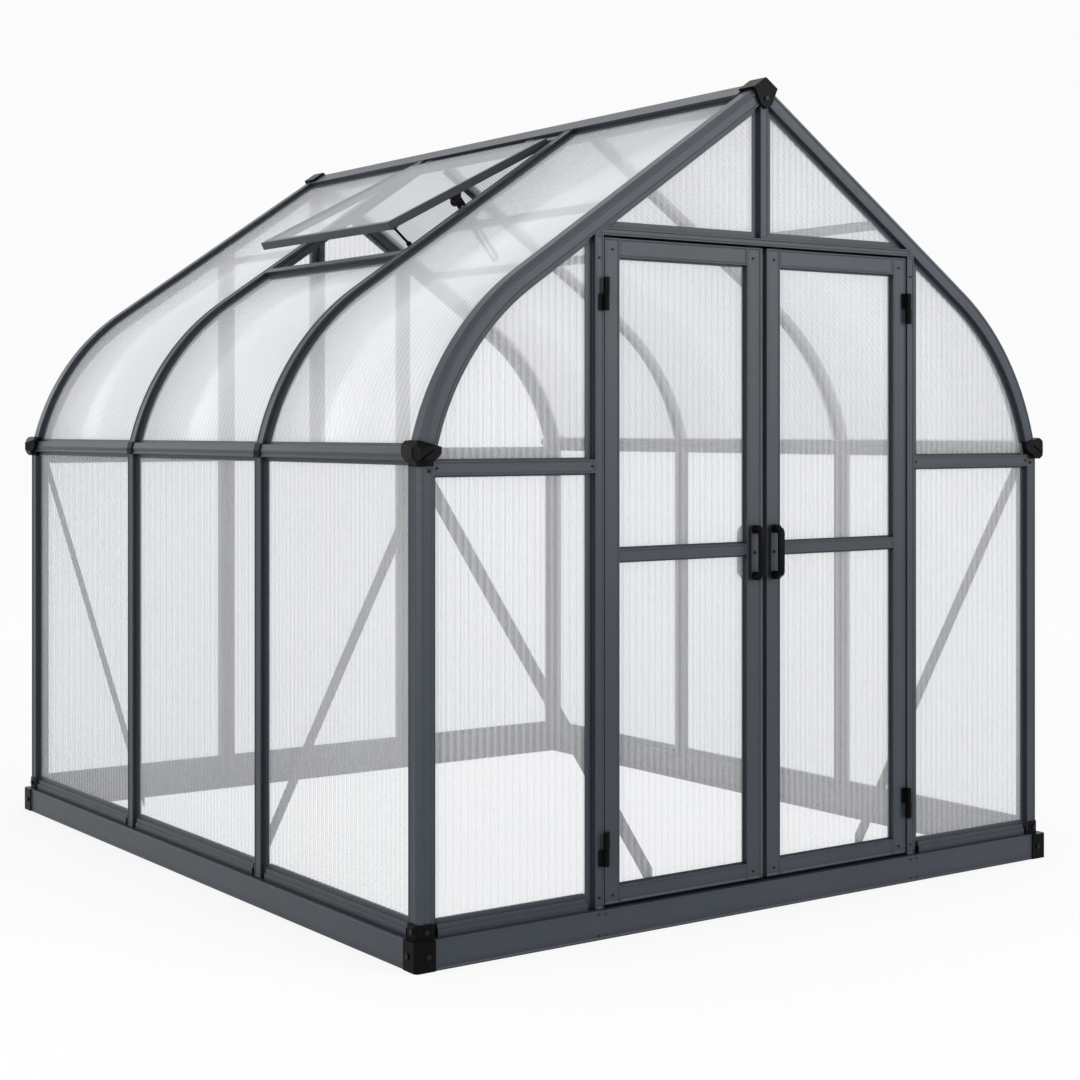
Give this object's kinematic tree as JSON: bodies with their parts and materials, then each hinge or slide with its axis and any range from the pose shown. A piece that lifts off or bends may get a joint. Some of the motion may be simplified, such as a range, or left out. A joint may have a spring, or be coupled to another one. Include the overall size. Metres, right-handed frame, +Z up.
{
  "type": "greenhouse",
  "caption": "Walk-in garden greenhouse with a bell-shaped curved-eave roof, twin-wall panels in a grey metal frame, double doors in the gable and a stayed roof vent.",
  "frame": {"origin": "on the ground under the middle of the base", "axes": "+Z up, +Y towards the rear gable, +X to the right as seen from in front of the doors"},
  "size_m": [2.308, 2.621, 2.3072],
  "materials": {
    "frame_paint": "satin slate-grey powder coat on aluminium",
    "panel": "hazy clear fluted twin-wall polycarbonate",
    "vent_glass": "clear glossy pane",
    "bare_metal": "bare satin metal",
    "dark_metal": "dark coated bolts and vent hardware",
    "black_plastic": "satin black moulded plastic"
  },
  "bodies": {
    "frame": {"base_corners": "black_plastic", "base_rails_end": "frame_paint", "base_rails_side": "frame_paint", "corner_posts": "frame_paint", "door_header": "frame_paint", "door_hinges_fixed": "black_plastic", "door_jambs": "frame_paint", "eave_clips": "black_plastic", "eave_corners": "black_plastic", "eave_rail_left": "frame_paint", "eave_rail_right": "frame_paint", "frame_bolts": "dark_metal", "front_lower_panels": "panel", "front_rails": "frame_paint", "front_upper_panels": "panel", "gable_arch_front": "frame_paint", "gable_arch_rear": "frame_paint", "king_posts": "frame_paint", "purlins_left": "frame_paint", "purlins_right": "frame_paint", "rear_lower_panels": "panel", "rear_rails": "frame_paint", "rear_studs": "frame_paint", "rear_upper_panels": "panel", "ridge_beam": "frame_paint", "ridge_caps": "black_plastic", "roof_panels_left": "panel", "roof_panels_right": "panel", "roof_panels_vent_bay": "panel", "roof_ribs_left": "frame_paint", "roof_ribs_right": "frame_paint", "side_panels_left": "panel", "side_panels_right": "panel", "side_posts": "frame_paint", "vent_curb": "frame_paint", "vent_hinges_fixed": "frame_paint", "vent_stay_bracket": "dark_metal", "wall_braces": "bare_metal", "wall_sills": "frame_paint"},
    "door_left": {"door_left_brace": "bare_metal", "door_left_handles": "black_plastic", "door_left_hinges": "black_plastic", "door_left_panes": "panel", "door_left_rails": "frame_paint", "door_left_stiles": "frame_paint", "door_meeting_strip": "frame_paint"},
    "door_right": {"door_right_brace": "bare_metal", "door_right_handles": "black_plastic", "door_right_hinges": "black_plastic", "door_right_panes": "panel", "door_right_rails": "frame_paint", "door_right_stiles": "frame_paint"},
    "vent": {"vent_frame": "frame_paint", "vent_glass": "vent_glass", "vent_hinges": "frame_paint", "vent_knob": "black_plastic", "vent_lever": "black_plastic", "vent_stay_lug": "dark_metal"},
    "vent_stay": {"vent_stay": "dark_metal"}
  },
  "joints": [
    {"name": "door_left_hinge", "type": "hinge", "parent": "frame", "child": "door_left", "pos_m": [-0.558, -1.291, 0], "axis": [0, 0, -1], "range_deg": [0, 110]},
    {"name": "door_right_hinge", "type": "hinge", "parent": "frame", "child": "door_right", "pos_m": [0.558, -1.291, 0], "axis": [0, 0, 1], "range_deg": [0, 110]},
    {"name": "vent_hinge", "type": "hinge", "parent": "frame", "child": "vent", "pos_m": [-0.10501, 0, 2.23373], "axis": [0, 1, 0], "range_deg": [-7, 18]},
    {"name": "vent_stay_pivot", "type": "hinge", "parent": "vent", "child": "vent_stay", "pos_m": [-0.43254, -0.3893, 2.01798], "axis": [0, 1, 0], "range_deg": [-9.1, 3.6]}
  ],
  "couplings": [
    {"joint": "vent_stay_pivot", "follows": "vent_hinge", "ratio": -0.5}
  ]
}
